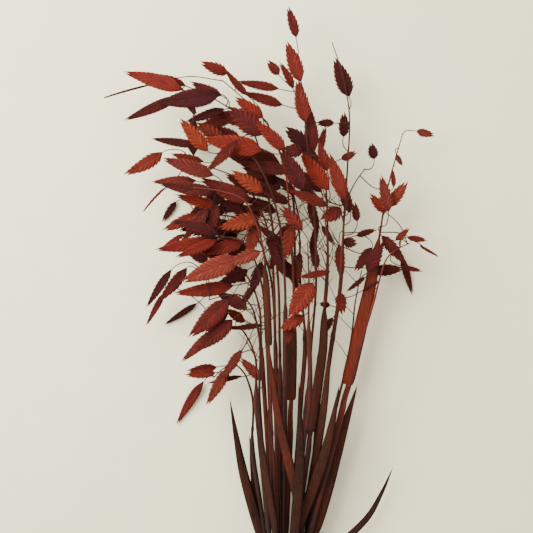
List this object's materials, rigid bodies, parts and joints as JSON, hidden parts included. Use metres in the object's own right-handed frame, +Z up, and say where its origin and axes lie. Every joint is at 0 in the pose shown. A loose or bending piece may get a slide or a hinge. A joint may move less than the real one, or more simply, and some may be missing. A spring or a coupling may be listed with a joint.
{
  "type": "sea oat bunch",
  "caption": "Tied bunch of dyed sea oat grass lying flat: thin culms with narrow leaves and nodding panicles of flat, toothed, two-ranked spikelets.",
  "frame": {"origin": "on the table under the middle of the tie, at the centre of the tie's flat lowest facet", "axes": "+Y along the bunch from the tie towards the seed heads, +Z up from the table, +X to the side the sparse panicles lean to"},
  "size_m": [0.275, 0.5887, 0.0823],
  "materials": {
    "maroon_dye": "matte dyed dried grass",
    "red_dye": "matte dyed dried grass",
    "rust_dye": "matte dyed dried grass",
    "dark_dye": "matte dyed dried grass",
    "brown_dye": "matte dyed dried grass",
    "jute_twine": "matte twisted fibre"
  },
  "bodies": {
    "root": {"reach": "maroon_dye", "crest": "red_dye", "plume": "rust_dye", "drift": "dark_dye", "mane": "brown_dye", "fringe": "maroon_dye", "veil": "red_dye", "tress": "rust_dye", "sweep": "dark_dye", "trail": "brown_dye", "stray": "maroon_dye", "heart": "red_dye", "core": "rust_dye", "spire": "dark_dye", "wand": "brown_dye", "amber": "maroon_dye", "sprig": "red_dye", "whip": "rust_dye", "spray": "dark_dye", "outer": "brown_dye", "edge": "maroon_dye", "low": "red_dye", "tie": "jute_twine"}
  },
  "joints": []
}
